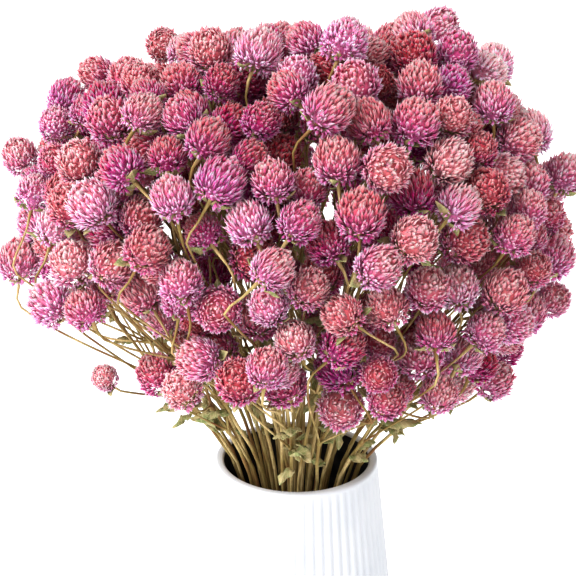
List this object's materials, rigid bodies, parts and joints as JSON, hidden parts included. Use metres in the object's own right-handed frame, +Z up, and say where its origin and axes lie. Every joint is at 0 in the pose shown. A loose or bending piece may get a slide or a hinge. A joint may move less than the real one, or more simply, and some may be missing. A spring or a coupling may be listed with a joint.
{
  "type": "dried globe amaranth",
  "caption": "Bunch of dried globe amaranth: round papery pink flower heads on thin branching stems, standing in a tapered white fluted vase.",
  "frame": {"origin": "centre of the vase's foot, on the surface it stands on", "axes": "+Z up along the vase's axis; the picture looks along +Y and down, with +X to its right"},
  "size_m": [0.3166, 0.2613, 0.4565],
  "materials": {
    "vase_white": "satin white, unglazed look",
    "dried_heads_rose": "matte, papery bracts, rose, on olive brown stems",
    "dried_heads_orchid": "matte, papery bracts, orchid pink, on olive brown stems",
    "dried_heads_salmon": "matte, papery bracts, salmon pink, on olive brown stems"
  },
  "bodies": {
    "root": {"vase": "vase_white", "spray_01": "dried_heads_rose", "spray_02": "dried_heads_orchid", "spray_03": "dried_heads_salmon", "spray_04": "dried_heads_rose", "spray_05": "dried_heads_orchid", "spray_06": "dried_heads_salmon", "spray_07": "dried_heads_rose", "spray_08": "dried_heads_orchid", "spray_09": "dried_heads_salmon", "spray_10": "dried_heads_rose", "spray_11": "dried_heads_orchid", "spray_12": "dried_heads_salmon", "spray_13": "dried_heads_rose", "spray_14": "dried_heads_orchid", "spray_15": "dried_heads_salmon", "spray_16": "dried_heads_rose", "spray_17": "dried_heads_orchid", "spray_18": "dried_heads_salmon", "spray_19": "dried_heads_rose", "spray_20": "dried_heads_orchid", "spray_21": "dried_heads_salmon", "spray_22": "dried_heads_rose", "spray_23": "dried_heads_orchid", "spray_24": "dried_heads_salmon", "spray_25": "dried_heads_rose", "spray_26": "dried_heads_orchid", "spray_27": "dried_heads_salmon", "spray_28": "dried_heads_rose", "spray_29": "dried_heads_orchid", "spray_30": "dried_heads_salmon", "spray_31": "dried_heads_rose", "spray_32": "dried_heads_orchid", "spray_33": "dried_heads_salmon", "spray_34": "dried_heads_rose", "spray_35": "dried_heads_orchid", "spray_36": "dried_heads_salmon", "spray_37": "dried_heads_rose", "spray_38": "dried_heads_orchid", "spray_39": "dried_heads_salmon", "spray_40": "dried_heads_rose", "spray_41": "dried_heads_orchid", "spray_42": "dried_heads_salmon", "spray_43": "dried_heads_rose", "spray_44": "dried_heads_orchid", "spray_45": "dried_heads_salmon", "spray_46": "dried_heads_rose", "spray_47": "dried_heads_orchid", "spray_48": "dried_heads_salmon", "spray_49": "dried_heads_rose", "spray_50": "dried_heads_orchid", "spray_51": "dried_heads_salmon", "spray_52": "dried_heads_rose", "spray_53": "dried_heads_orchid", "spray_54": "dried_heads_salmon", "spray_55": "dried_heads_rose", "spray_56": "dried_heads_orchid", "spray_57": "dried_heads_salmon", "spray_58": "dried_heads_rose"}
  },
  "joints": []
}
